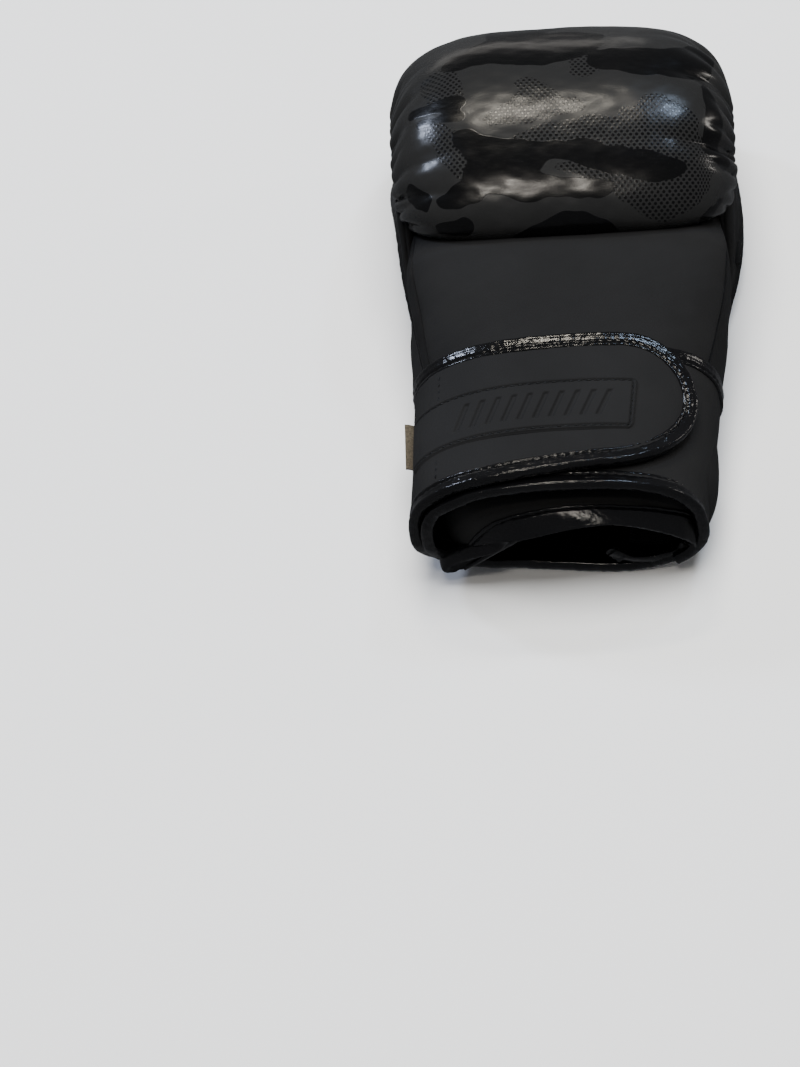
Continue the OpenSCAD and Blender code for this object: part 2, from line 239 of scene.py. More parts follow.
def oval_radius(a, reach, rise):
    c, s = np.cos(np.radians(a)), np.sin(np.radians(a))
    return ((c / reach) ** 2 + (s / rise) ** 2) ** -0.5


def pad_radius(a):
    """Distance from the pivot line to the pad's outside, at the angle a degrees above +Y."""
    c, s = np.cos(np.radians(a)), np.sin(np.radians(a))
    rise = PAD_RISE - ROLL_DROP
    qa = (c / ROLL_BACK) ** 2 + (s / ROLL_DROP) ** 2
    qb = -2 * rise * s / ROLL_DROP ** 2
    qc = (rise / ROLL_DROP) ** 2 - 1
    roll = (-qb + np.sqrt(np.maximum(0, qb * qb - 4 * qa * qc))) / (2 * qa)
    return np.where(a <= 90, oval_radius(a, PAD_REACH, PAD_RISE), roll)


def pad_half_width(a):
    """Half of the pad's width at the angle a: full in front, drawn in at the knuckle seam."""
    near = np.clip((a - SEAM_A + 28) / 28, 0, 1)
    return PAD_HW - SEAM_PINCH * (1 - (1 - near ** 2.2) ** 0.6)


def fan(half_w, radius, a, psi):
    cx, sr = squircle(psi, PAD_N)
    y = PIVOT_Y + radius * sr * np.cos(np.radians(a))
    z = PIVOT_Z + radius * sr * np.sin(np.radians(a))
    return points(half_w * cx, y, z)


def pad_surface(a, psi, depth=0.0):
    return fan(pad_half_width(a) - depth, pad_radius(a) - depth, a, psi)


def space_surface(a, psi, out=0.0):
    """The finger space's wall; towards the rim it flares out to meet the thin edge of the pad."""
    ahead = oval_radius(a, SPACE_REACH, SPACE_RISE)
    behind = SPACE_RISE / np.maximum(np.sin(np.radians(a)), 0.2)
    flare = ease((12 - a) / (12 - RIM_A))
    radius = mix(np.where(a <= 90, ahead, behind), pad_radius(a) - 9, flare)
    half_w = mix(SPACE_HW, PAD_HW - 8, flare)
    return fan(half_w + out, radius + out, a, psi)


def ring_table():
    """The wound strap's outside, walked from the thumb side over the back of the wrist and on round."""
    psi = np.linspace(180, -180, 1441)
    x, z = section(WRIST_HW, WRIST_MID, WRIST_TOP, 1.0, 2.5, psi)
    arc = np.concatenate([[0], np.cumsum(np.hypot(np.diff(x), np.diff(z)))])
    tangent = np.stack([np.gradient(x, arc), np.gradient(z, arc)], -1)
    for _ in range(12):
        tangent[1:-1] = (tangent[:-2] + tangent[1:-1] + tangent[2:]) / 3
    tangent = unit(tangent)
    return arc, x, z, -tangent[:, 1], tangent[:, 0]


ARC, RING_X, RING_Z, RING_NX, RING_NZ = ring_table()
RING_LENGTH = ARC[-1]


def at_x(x):
    """Walked length at which the back of the wrist reaches x."""
    upper = slice(0, int(np.argmax(RING_X)))
    return np.interp(x, RING_X[upper], ARC[upper])


def wrist(u, y, depth=0.0):
    """A point of the wound strap at the walked length u; u below 0 runs under the palm."""
    w = np.mod(u, RING_LENGTH)
    nx, nz = np.interp(w, ARC, RING_NX), np.interp(w, ARC, RING_NZ)
    back = np.clip((STRAP_FRONT - y) / (STRAP_FRONT - STRAP_REAR), 0, 1.1)
    x = (np.interp(w, ARC, RING_X) - nx * depth) * mix(0.96, 0.906, back) + lean(y)
    z = np.interp(w, ARC, RING_Z) - nz * depth
    pulled = 4.0 * back ** 2 * ease((WRIST_MID - 6 - z) / 16) * ease((14 - x) / 40)
    return points(x, y + pulled, z)


def wrist_normal(u):
    w = np.mod(u, RING_LENGTH)
    nx, nz = np.interp(w, ARC, RING_NX), np.interp(w, ARC, RING_NZ)
    return points(nx, 0.0, nz)


# ---- mesh builders
def make(name, places, faces, material, uv=None, values=None, sharp=50):
    """A smooth-shaded mesh object from points in millimetres."""
    mesh = bpy.data.meshes.new(name)
    mesh.from_pydata((np.asarray(places).reshape(-1, 3) * MM).tolist(), [], faces)
    mesh.polygons.foreach_set("use_smooth", [True] * len(mesh.polygons))
    mesh.set_sharp_from_angle(angle=math.radians(sharp))
    if uv is not None:
        corners = np.empty(len(mesh.loops), int)
        mesh.loops.foreach_get("vertex_index", corners)
        layer = mesh.uv_layers.new(name="UVMap")
        layer.data.foreach_set("uv", np.asarray(uv).reshape(-1, 2)[corners].astype(np.float32).ravel())
    for key, data in (values or {}).items():
        attribute = mesh.attributes.new(key, "FLOAT", "POINT")
        attribute.data.foreach_set("value", np.asarray(data).astype(np.float32).ravel())
    mesh.validate()
    mesh.update()
    obj = bpy.data.objects.new(name, mesh)
    bpy.context.scene.collection.objects.link(obj)
    mesh.materials.append(material)
    return obj


def settle(obj, slot, *nodes, body=None, bend=None, fill=None):
    """Hides the CAD nodes a piece stands for and attaches it to its body; a bend only bakes its placement.
    slot is not used.
    """
    if body:
        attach(obj, body)
    if nodes:
        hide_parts(*nodes)
    if bend:
        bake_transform(obj)


def grid_faces(rows, columns, start=0, flip=False, wrap=False):
    """Quads of a grid of rows x columns points; wrap joins the last column to the first."""
    i = np.arange(rows - 1)[:, None]
    j = np.arange(columns if wrap else columns - 1)[None, :]
    k = (j + 1) % columns
    quads = np.stack(np.broadcast_arrays(i * columns + j, (i + 1) * columns + j,
                                         (i + 1) * columns + k, i * columns + k), -1).reshape(-1, 4) + start
    return (quads[:, ::-1] if flip else quads).tolist()


def out_sign(outer, inner):
    """+1 if grid_faces' winding already faces from inner to outer."""
    i, j = outer.shape[0] // 2, outer.shape[1] // 2
    across = np.cross(outer[i + 1, j] - outer[i, j], outer[i, j + 1] - outer[i, j])
    return np.sign(across @ (outer[i, j] - inner[i, j]))


def slab(name, outer, inner, material, uv=None, values=None, sharp=50):
    """A closed form between two grids of points of the same size."""
    rows, columns = outer.shape[:2]
    count = rows * columns
    flip = out_sign(outer, inner) < 0
    faces = grid_faces(rows, columns, 0, flip) + grid_faces(rows, columns, count, not flip)
    border = [(i, 0) for i in range(rows)] + [(rows - 1, j) for j in range(1, columns)]
    border += [(i, columns - 1) for i in range(rows - 2, -1, -1)]
    border += [(0, j) for j in range(columns - 2, 0, -1)]
    ids = [i * columns + j for i, j in border]
    for a, b in zip(ids, ids[1:] + ids[:1]):
        wall = [a, a + count, b + count, b]
        faces.append(wall if flip else wall[::-1])
    both = None if uv is None else np.concatenate([uv.reshape(-1, 2)] * 2)
    twice = {k: np.concatenate([np.ravel(v)] * 2) for k, v in (values or {}).items()}
    corners = np.concatenate([outer.reshape(-1, 3), inner.reshape(-1, 3)])
    return make(name, corners, faces, material, both, twice, sharp)


def edge_profile(width):
    """Section of a tape round a sheet's edge: out from it, up off its face, share of its thickness."""
    bead = [(1.35 * math.cos(a) + 0.1, 1.15 * math.sin(a), 0.5 - 0.5 * math.sin(a))
            for a in np.radians(np.linspace(90, -90, 11))]
    face = [(-width, -0.3, 0), (-width, 0.3, 0), (-width + 0.3, 0.6, 0), (-width + 1.0, 0.72, 0),
            (-width + 1.5, 0.3, 0), (-width + 2.0, 0.66, 0), (-width + 2.7, 0.85, 0), (-1.5, 0.75, 0),
            (-0.7, 0.95, 0)]
    back = [(-1.4, -0.75, 1), (-width + 0.6, -0.6, 1), (-width, 0.2, 1)]
    return np.array(face + bead + back)


def tape_mesh(name, places, path, up, profile, width, seed, crumple):
    """A tape from its section's places along a path: crumpled, grooved by its stitches and closed."""
    n, m = places.shape[:2]
    wave = ripple(places, 3.4, seed) + 0.6 * ripple(places, 1.7, seed + 1)
    places = places + unit(places - places.mean(axis=1, keepdims=True)) * (crumple * wave)[..., None]
    length = lengths(path)[:, None]
    groove = np.exp(-((profile[:, 0] + width - GROOVE_IN) / 0.55) ** 2) * (profile[:, 1] > 0)
    dips = 0.42 * (0.55 + 0.45 * np.cos(2 * math.pi * length / GROOVE_PACE)) * groove
    places = places - up[:, None] * dips[..., None]
    uv = np.stack(np.broadcast_arrays(length, np.linspace(0, 12, m)), -1)
    faces = grid_faces(n, m, 0, True, wrap=True)
    faces += [list(range(m))[::-1], [(n - 1) * m + j for j in range(m)]]
    obj = make(name, places, faces, PATENT, uv, sharp=70)
    mesh = obj.data
    if sum(mesh.vertices[p.vertices[0]].co.dot(p.normal) * p.area for p in mesh.polygons) < 0:
        mesh.flip_normals()
    return obj


def edge_tape(name, path, outward, normal, thickness, *nodes, seed=1, width=TAPE_W, crumple=0.08, **place):
    """Patent tape sewn over a sheet's edge. outward points away from the sheet, normal off its face."""
    along = unit(np.gradient(path, axis=0))
    normal = unit(normal - along * np.sum(normal * along, -1, keepdims=True))
    side = np.cross(along, normal)
    side = unit(facing(side, outward))
    profile = edge_profile(width)
    rise = profile[:, 1] - profile[:, 2] * np.broadcast_to(thickness, (len(path),))[:, None]
    places = path[:, None] + side[:, None] * profile[:, :1] + normal[:, None] * rise[..., None]
    settle(tape_mesh(name, places, path, normal, profile, width, seed, crumple), "edge_tape", *nodes, **place)


def wrapped_tape(name, base, off, top, thickness, *nodes, seed, width, **place):
    """Patent tape over the first edge of a curved sheet, following the sheet's own shape."""
    profile = edge_profile(width)
    across = lengths(base[len(base) // 2])
    inward, beyond = np.maximum(-profile[:, 0], 0), np.maximum(profile[:, 0], 0)
    spots = [np.array([read_at(inward, across, row) for row in sheet]) for sheet in (base, off)]
    out = unit(base[:, 0] - base[:, 2])
    rise = top + profile[:, 1] - profile[:, 2] * thickness
    places = spots[0] + unit(spots[1]) * rise[:, None] + out[:, None] * beyond[:, None]
    tape = tape_mesh(name, places, base[:, 0], unit(off[:, 0]), profile, width, seed, 0.12)
    settle(tape, "edge_tape", *nodes, **place)


def stitches(name, rows, length, gap, radius, **place):
    """Thread dashes lying on a surface, along rows of (path, normal)."""
    places, faces = [], []
    rings, sides, step = 5, 6, 0.25
    turn = np.linspace(0, 2 * math.pi, sides, endpoint=False)
    for path, normal in rows:
        both = walk(np.concatenate([path, normal], axis=1), step)
        path, normal = both[:, :3], unit(both[:, 3:])
        side = np.cross(normal, unit(np.gradient(path, axis=0)))
        pace = int(round((length + gap) / step))
        for start in range(2, len(path) - pace, pace):
            for r in range(rings):
                q = r / (rings - 1)
                i = start + int(round(q * length / step))
                fat = radius * (math.sin(math.pi * (0.12 + 0.76 * q))) ** 0.5
                rise = 0.1 + radius * 0.8 * math.sin(math.pi * q) - radius * 0.9
                centre = path[i] + normal[i] * rise
                places.extend(centre + fat * (math.cos(t) * side[i] + math.sin(t) * normal[i]) for t in turn)
            base = len(places) - rings * sides
            faces.extend(grid_faces(rings, sides, base, False, wrap=True))
            faces.append([base + j for j in range(sides)])
            faces.append([base + (rings - 1) * sides + j for j in range(sides)][::-1])
    settle(make(name, np.array(places), faces, THREAD), "edge_tape", **place)


# ---- materials
class Look:
    """A small builder for node materials."""

    def __init__(self, name):
        self.material = bpy.data.materials.new(name)
        self.material.use_nodes = True
        self.tree = self.material.node_tree
        self.shader = self.tree.nodes["Principled BSDF"]
        self.at = self.node("ShaderNodeTexCoord", out="Object")

    def put(self, node, key, value):
        if isinstance(value, bpy.types.NodeSocket):
            self.tree.links.new(value, node.inputs[key])
        else:
            node.inputs[key].default_value = value

    def set(self, **inputs):
        for key, value in inputs.items():
            self.put(self.shader, key.replace("_", " "), value)
        return self.material

    def node(self, kind, inputs=(), out=0, **settings):
        node = self.tree.nodes.new(kind)
        for key, value in settings.items():
            setattr(node, key, value)
        for key, value in dict(inputs).items():
            self.put(node, key, value)
        return node.outputs[out]

    def noise(self, scale, detail=2.0, rough=0.5, where=None):
        where = self.at if where is None else where
        return self.node("ShaderNodeTexNoise", {"Vector": where, "Scale": scale, "Detail": detail,
                                                "Roughness": rough})

    def cells(self, scale):
        return self.node("ShaderNodeTexVoronoi", {"Vector": self.at, "Scale": scale}, out="Distance")

    def span(self, value, low, high, to_low=0.0, to_high=1.0):
        return self.node("ShaderNodeMapRange", {"Value": value, "From Min": low, "From Max": high,
                                                "To Min": to_low, "To Max": to_high})

    def math(self, operation, a, b=0.0):
        return self.node("ShaderNodeMath", {0: a, 1: b}, operation=operation)

    def vector(self, operation, a, b=(0, 0, 0)):
        out = "Value" if operation == "LENGTH" else "Vector"
        return self.node("ShaderNodeVectorMath", {0: a, 1: b}, out=out, operation=operation)

    def blend(self, factor, a, b):
        node = self.tree.nodes.new("ShaderNodeMix")
        node.data_type = "RGBA"
        for key, value in ((0, factor), (6, a), (7, b)):
            self.put(node, key, (*value, 1) if isinstance(value, tuple) else value)
        return node.outputs[2]

    def bump(self, height, strength, distance, normal=None):
        inputs = {"Height": height, "Strength": strength, "Distance": distance}
        if normal is not None:
            inputs["Normal"] = normal
        return self.node("ShaderNodeBump", inputs)


def leather_look(name, dark, light, roughness):
    """Matt coated leather: fine pebbled grain and faint mottling."""
    look = Look(name)
    mottle = look.noise(45.0, 4.0, 0.6)
    broad = look.noise(12.0)
    tone = look.math("ADD", look.span(mottle, 0.3, 0.7, 0.0, 0.6), look.span(broad, 0.3, 0.7, 0.0, 0.4))
    soft = look.bump(look.noise(160.0, 3.0), 0.10, 0.0006)
    pebbles = look.math("ADD", look.cells(1150.0), look.math("MULTIPLY", look.noise(2600.0, 3.0), 0.5))
    return look.set(Base_Color=look.blend(tone, dark, light),
                    Roughness=look.span(mottle, 0.3, 0.7, roughness - 0.05, roughness + 0.06),
                    Specular_IOR_Level=0.16, Normal=look.bump(pebbles, 0.2, 0.00016, soft))


def patent_look(name):
    """High-gloss patent tape with a fine crinkle."""
    look = Look(name)
    crinkle = look.bump(look.noise(420.0, 5.0, 0.65), 0.26, 0.0006)
    return look.set(Base_Color=look.blend(look.noise(60.0), (0.001, 0.001, 0.0012), (0.003, 0.003, 0.0035)),
                    Roughness=look.span(look.noise(300.0), 0.35, 0.65, 0.08, 0.18),
                    Specular_IOR_Level=0.45, Normal=look.bump(look.cells(900.0), 0.12, 0.0002, crinkle))


def camouflage_look(name):
    """Tone-on-tone camouflage: gloss black shapes and dot screens printed on matt charcoal leather."""
    look = Look(name)
    black, screen = (look.node("ShaderNodeAttribute", out="Fac", attribute_name=key)
                     for key in ("black", "screen"))
    uv = look.node("ShaderNodeTexCoord", out="UV")
    dot = 0.56                                      # radius of a dot; dots sit in two shifted lattices
    cell = (2.15, 2.15 * 1.25, 1.0)
    half = (cell[0] / 2, cell[1] / 2, 0.5)

    def lattice(shift):
        away = tuple(500 * c + shift * h for c, h in zip(cell[:2], half)) + (0,)
        inside = look.vector("MODULO", look.vector("ADD", uv, away), cell)
        flat = look.vector("MULTIPLY", look.vector("SUBTRACT", inside, half), (1, 1, 0))
        return look.vector("LENGTH", flat)

    near = look.math("MINIMUM", lattice(0), lattice(1))
    dots = look.math("MULTIPLY", look.span(near, dot - 0.09, dot + 0.09, 1.0, 0.0),
                     look.span(screen, -0.4, 0.4, 1.0, 0.0))
    gloss = look.math("MAXIMUM", look.span(black, -0.14, 0.14, 1.0, 0.0), dots)
    mottle = look.noise(60.0, 4.0, 0.6)
    ground = look.blend(mottle, (0.0095, 0.0095, 0.0095), (0.0142, 0.0142, 0.0142))
    ink = look.blend(mottle, (0.0006, 0.0006, 0.0007), (0.0014, 0.0014, 0.0015))
    stretched = look.node("ShaderNodeMapping", {"Vector": look.at, "Scale": (1.0, 4.0, 4.0)})
    scuff = look.noise(220.0, 4.0, where=stretched)
    matt = look.math("MULTIPLY", look.span(scuff, 0.3, 0.7, 0.22, 0.27), look.math("SUBTRACT", 1.0, gloss))
    shiny = look.math("MULTIPLY", look.span(scuff, 0.3, 0.7, 0.18, 0.26), gloss)
    grain = look.bump(look.cells(1250.0), 0.07, 0.0001, look.bump(look.noise(120.0, 4.0), 0.05, 0.0008))
    return look.set(Base_Color=look.blend(gloss, ground, ink), Roughness=look.math("ADD", matt, shiny),
                    Specular_IOR_Level=look.span(gloss, 0.0, 1.0, 0.26, 0.37),
                    Normal=look.bump(gloss, 0.25, 0.00008, grain))


def textile_look(name, dark, light, pitch=0.0011):
    """Ribbed lining: fine cross ribs with a napped surface."""
    look = Look(name)
    ribs = look.node("ShaderNodeTexWave", {"Vector": look.at, "Scale": 1 / pitch / 3.2, "Distortion": 1.2,
                                           "Detail": 2.0, "Detail Scale": 3.0}, bands_direction="Y")
    nap = look.noise(1900.0, 3.0)
    relief = look.math("ADD", ribs, look.math("MULTIPLY", nap, 0.6))
    return look.set(Base_Color=look.blend(look.math("MULTIPLY", ribs, nap), dark, light), Roughness=0.86,
                    Specular_IOR_Level=0.2, Sheen_Weight=0.25, Sheen_Roughness=0.5,
                    Normal=look.bump(relief, 0.5, 0.0004))


def plain_look(name, dark, light, scale, roughness, bump):
    """Thread, hook tape and the woven tab: two tones of noise with some relief."""
    look = Look(name)
    grain = look.noise(scale, 4.0, 0.6)
    return look.set(Base_Color=look.blend(look.span(grain, 0.3, 0.7), dark, light), Roughness=roughness,
                    Specular_IOR_Level=0.35, Normal=look.bump(grain, bump, 0.0004))


def floor_look():
    look = Look("pale_floor")
    tone = look.blend(look.noise(3.0, 3.0), (0.84, 0.84, 0.845), (0.87, 0.87, 0.87))
    return look.set(Base_Color=tone, Roughness=0.7, Specular_IOR_Level=0.2)


LEATHER = leather_look("matt_leather", (0.0075, 0.0075, 0.0078), (0.012, 0.012, 0.0124), 0.76)
GUSSET = leather_look("side_leather", (0.006, 0.006, 0.0062), (0.010, 0.010, 0.0103), 0.7)
PATENT = patent_look("patent_tape")
CAMO = camouflage_look("camouflage_leather")
LINING = textile_look("ribbed_lining", (0.003, 0.003, 0.0032), (0.018, 0.018, 0.0185))
THREAD = plain_look("black_thread", (0.0006, 0.0006, 0.0006), (0.002, 0.002, 0.002), 2500.0, 0.55, 0.4)
HOOKS = plain_look("hook_and_loop", (0.004, 0.004, 0.004), (0.02, 0.02, 0.021), 1400.0, 0.7, 0.9)
TAB = plain_look("woven_tab", (0.03, 0.025, 0.018), (0.11, 0.092, 0.066), 1500.0, 0.75, 0.6)


def leather(name, outer, inner, *nodes, look=LEATHER, **place):
    """A leather piece between two grids."""
    settle(slab(name, outer, inner, look), "matt_leather", *nodes, **place)


def cloth(name, grid, outer, inner, rests_on, *nodes, **place):
    """A lining between two grids, outer and inner; grid is not used."""
    obj = slab(name, outer, inner, LINING)
    settle(obj, "lining", *nodes, **place)


# ---- camera, light and floor
def camera():
    """Looks along the glove from behind the wrist, high up, with the glove up and right of the middle."""
    azimuth, elevation, roll = math.radians(3.5), math.radians(53), math.radians(6)
    distance, frame_height, film = 1.5, 0.402, 36.0
    back = Vector((math.sin(azimuth) * math.cos(elevation), -math.cos(azimuth) * math.cos(elevation),
                   math.sin(elevation)))
    level = Vector((math.cos(azimuth), math.sin(azimuth), 0))
    right = level * math.cos(roll) - back.cross(level) * math.sin(roll)
    up = back.cross(right)
    aim = -right * 0.0651 - up * 0.0704
    data = bpy.data.cameras.new("camera")
    data.sensor_width = film
    data.lens = film * distance / frame_height
    data.clip_end = 20
    obj = bpy.data.objects.new("camera", data)
    turned = Matrix((right, up, back)).transposed().to_4x4()
    obj.matrix_world = Matrix.Translation(aim + back * distance) @ turned
    bpy.context.scene.collection.objects.link(obj)
    bpy.context.scene.camera = obj


# Place and size in metres, watts and colour: warm strips above, cool windows at the sides, a broad
# panel overhead, and two weak warm lamps low in front and on the right.
LAMPS = {
    "front_strip": ((-0.12, 0.78, 1.59), (0.4, 0.09), 8.0, (1.0, 0.93, 0.8)),
    "top_strip": ((-0.15, -0.6, 1.36), (0.28, 0.11), 3.4, (1.0, 0.94, 0.84)),
    "left_window": ((-1.09, 0.72, 1.08), (0.16, 0.3), 12, (0.7, 0.79, 1.0)),
    "right_window": ((0.6, 0.76, 1.5), (0.14, 0.2), 6, (0.6, 0.76, 1.0)),
    "overhead": ((0, 0.1, 2.6), (1.5, 1.5), 121, (1, 1, 0.98)),
    "front_glow": ((-0.25, 1.5, 0.22), (0.9, 0.3), 1.0, (1.0, 0.96, 0.9)),
    "right_low": ((1.1, 0.4, 0.45), (0.08, 0.3), 1.6, (1.0, 0.95, 0.88)),
}
LAMP_AIM = Vector((0, 0, 0.04))


def studio():
    """Lamps, a dim cool surround and the floor; the tape doesn't mirror the overhead panel or the floor."""
    world = bpy.data.worlds.new("studio")
    world.use_nodes = True
    background = world.node_tree.nodes["Background"]
    background.inputs["Color"].default_value = (0.93, 0.95, 1.0, 1)
    background.inputs["Strength"].default_value = 0.16
    bpy.context.scene.world = world
    for name, (place, size, power, colour) in LAMPS.items():
        data = bpy.data.lights.new(name, "AREA")
        data.shape = "RECTANGLE"
        data.size, data.size_y = size
        data.energy = power
        data.color = colour
        obj = bpy.data.objects.new(name, data)
        obj.location = place
        obj.rotation_euler = (LAMP_AIM - Vector(place)).to_track_quat("-Z", "Y").to_euler()
        obj.visible_glossy = name != "overhead"
        bpy.context.scene.collection.objects.link(obj)
    bpy.ops.mesh.primitive_plane_add(size=30)
    floor = bpy.context.object
    floor.name = "floor"
    floor.visible_glossy = False
    floor.data.materials.append(floor_look())


# ---- knuckle pad
# The print's shapes on the back of the pad: x across, w up from the knuckle seam, radius.
BLACK = [
    [(-36, 75, 5), (-22, 79, 11), (-8, 80, 15), (3, 83, 14)],
    [(-18, 92, 9), (-8, 104, 13)],
    [(19, 71, 8), (30, 69, 10), (42, 69, 10), (52, 74, 9), (58, 84, 8)],
    [(57, 60, 4), (62, 47, 7), (59, 34, 6), (67, 28, 6)],
    [(-58, 56, 3.5), (-47, 54.5, 3), (-38, 54, 3)],
    [(-53, 48.5, 2.5), (-38, 48, 4)],
    [(-35, 39, 5), (-27, 33, 8), (-14, 29, 8), (-4, 31.5, 6), (6, 31, 6), (18, 27, 6), (30, 24, 6),
     (38, 23, 5.5)],
    [(-43, 16, 3.8), (-34, 19, 5), (-28, 24, 8), (-12, 19.5, 6), (4, 18, 4), (15, 17, 4.2)],
    [(-14, -1, 6), (0, 1, 10), (12, 0, 8)],
    [(-47, 6, 2.4), (-38, 6.5, 3.2)],
    [(-64, 20, 4.5), (-54, 17.5, 5)],
    [(56, 4, 4), (66, 10, 4)],
]
SCREENS = [
    [(-45, 68, 6), (-43, 59, 7)],
    [(-12, 61, 4), (-7, 54, 6)],
    [(-24, 46, 4.5), (-9, 50, 8), (3, 50, 5)],
    [(9, 80, 6), (10, 66, 4.5)],
    [(10, 81, 5), (23, 81, 3)],
    [(-20, 34, 3.5), (-4, 38.5, 5), (12, 38, 8), (28, 34, 10), (44, 32, 10), (56, 28, 9)],
    [(42, 20, 13), (35, 11, 10)],
    [(-2, 26, 3), (10, 24, 4.5), (22, 18, 7), (30, 13, 9)],
    [(26, 44, 5.5), (40, 42, 7)],
    [(36, 47, 7), (43, 42, 8)],
    [(-46, 44, 6), (-40, 34, 6), (-36, 27, 5)],
]


def scattered(seed, count, w0, w1):
    """More shapes of the print, for the front of the pad."""
    rng = np.random.default_rng(seed)
    shapes = []
    for _ in range(count):
        x, w = rng.uniform(-60, 60), rng.uniform(w0, w1)
        shape = []
        for _ in range(rng.integers(2, 5)):
            shape.append((x, w, rng.uniform(3, 7)))
            x, w = x + rng.uniform(11, 19), w + rng.uniform(-7, 7)
        shapes.append(shape)
    return shapes


def capsules(x, w, shapes):
    """Signed distance in millimetres to a set of winding shapes, each a line of (x, w, radius)."""
    nearest = np.full(x.shape, 1e3)
    place = points(x, w, 0.0)
    for shape in shapes:
        for (x0, w0, r0), (x1, w1, r1) in zip(shape, shape[1:]):
            dx, dw = x1 - x0, w1 - w0
            t = np.clip(((x - x0) * dx + (w - w0) * dw) / (dx * dx + dw * dw), 0, 1)
            away = np.hypot((x - x0 - t * dx), (w - w0 - t * dw) * 1.35) - mix(r0, r1, t)
            k = np.clip(0.5 + 0.5 * (nearest - away) / 3, 0, 1)
            nearest = mix(nearest, away, k) - 3 * k * (1 - k)
    return nearest + 1.3 * ripple(place, 24, 5) + 0.7 * ripple(place, 10, 6)


def gathers(a, psi, side):
    """Height of the gathered folds that fan out from the cover's side edges."""
    rng = np.random.default_rng(31 if side > 0 else 47)
    near = psi if side > 0 else 180 - psi
    away = np.clip((near - EDGE_PSI) / 34, 0, 1)
    total = np.zeros(np.broadcast(a, psi).shape)
    centre = RIM_A + 2
    while centre < SEAM_A + 4:
        width = rng.uniform(3.6, 6.2)
        reach = rng.uniform(0.45, 1.15)
        slant = rng.uniform(-10, 10)
        deep = rng.uniform(2.2, 5.0)
        fold = np.exp(-np.abs((a - centre - slant * away) / (width * (0.26 + 0.8 * away))) ** 1.4)
        total -= deep * fold * np.clip(1 - away / reach, 0, 1) ** 1.2 * (0.35 + 0.65 * ease(away / 0.14))
        centre += width * rng.uniform(1.15, 1.9)
    return total + 1.1 * np.clip(1 - away * 1.6, 0, 1) * ease(away / 0.1)


def pad_grid(tuck_rows):
    """Angles for the cover's grid, with the tuck under the knuckle seam as extra rows."""
    a = np.concatenate([np.full(tuck_rows, SEAM_A), np.linspace(SEAM_A, RIM_A, 250)])
    psi = np.concatenate([np.linspace(EDGE_PSI, 62, 90, endpoint=False), np.linspace(62, 118, 70),
                          np.linspace(118, 180 - EDGE_PSI, 91)[1:]])
    return np.meshgrid(a, psi, indexing="ij")


def pad_lift(outer, a, psi):
    """How far the stuffed cover stands off its plain surface."""
    middle = 1 - np.abs(outer[..., 0] / PAD_HW) ** 3
    fullness = 5.8 * np.exp(-((a - 55) / 45) ** 2) * middle + 0.5 * np.exp(-((a - 120) / 30) ** 2) * middle
    swell = 0.4 * ripple(outer, 60, 11) + 0.1 * ripple(outer, 21, 12) + 0.04 * ripple(outer, 7, 13)
    lift = fullness + swell + gathers(a, psi, 1) + gathers(a, psi, -1) - 0.4
    lift = lift * ease((a - RIM_A) / 9)
    return lift * mix(0.35, 1, ease((SEAM_A - a) / 7)) - 0.8 * np.exp(-((SEAM_A - a) / 2.2) ** 2)


def knuckle_pad():
    """The pad: cover, gathered sides, the roll over the knuckle seam and the thin front edge."""
    tucked = 6
    a, psi = pad_grid(tucked)
    outer = pad_surface(a, psi)
    normal = grid_normal(outer)
    normal = unit(np.where(np.isfinite(normal), normal, 0))
    normal = facing(normal, outer - [0, PIVOT_Y, PIVOT_Z])
    normal[:tucked] = normal[tucked]
    outer = outer + normal * pad_lift(outer, a, psi)[..., None]
    tuck = np.linspace(1, 0, tucked + 1)[:tucked, None]
    drop = np.sin(np.radians(psi[:tucked])) ** 2
    outer[:tucked, :, 1] += 7.5 * tuck ** 1.7 * drop
    outer[:tucked, :, 2] -= 4.2 * tuck ** 0.8 * drop
    inner = space_surface(a, psi, SPACE_GAP)
    inner[:tucked] = inner[tucked]
    inner[:tucked, :, 1] += 3 * tuck * drop
    rim = ease((RIM_A + 7 - a) / 7)[..., None]
    outer = mix(outer, mix(outer, inner, 0.22), rim)
    w = (SEAM_A - a) * math.pi / 180 * 58 * 1.05
    x = outer[..., 0] + np.sign(outer[..., 0]) * np.maximum(0, 1 - np.sin(np.radians(psi)) * 1.28) * 70
    values = {"black": capsules(x, w, BLACK + scattered(3, 13, 118, 170)),
              "screen": capsules(x, w, SCREENS + scattered(4, 8, 112, 170))}
    obj = slab("knuckle_pad", outer, inner, CAMO, np.stack([x, w], -1), values, sharp=60)
    settle(obj, "camouflage_leather", "knuckle_pad_cover", "knuckle_pad_foam", body="finger_pad", fill=0.8)


# ---- hand part
def seam_curve(x, inward):
    """Where the back of the hand meets the pad, at x across."""
    share = np.clip(np.abs(x) / (PAD_HW - SEAM_PINCH), 0, 0.985)
    r = pad_radius(np.float64(SEAM_A)) * (1 - share ** PAD_N) ** (1 / PAD_N) - inward
    a = math.radians(SEAM_A)
    return points(x, PIVOT_Y + r * math.cos(a), PIVOT_Z + r * math.sin(a))


def panel_side(s):
    return mix(22.0, 36.5, s)


def panel_point(s, psi, lift=0.0):
    """A point of the back panel; its last stretch runs into the knuckle seam."""
    p = hand(mix(TUCKED_Y, SEAM_Y, s), psi, -lift)
    end = seam_curve(p[..., 0] * 0.955, 2.6) + [0, 1.2, 0]
    return mix(p, end, (ease((s - 0.88) / 0.12) ** 2)[..., None])


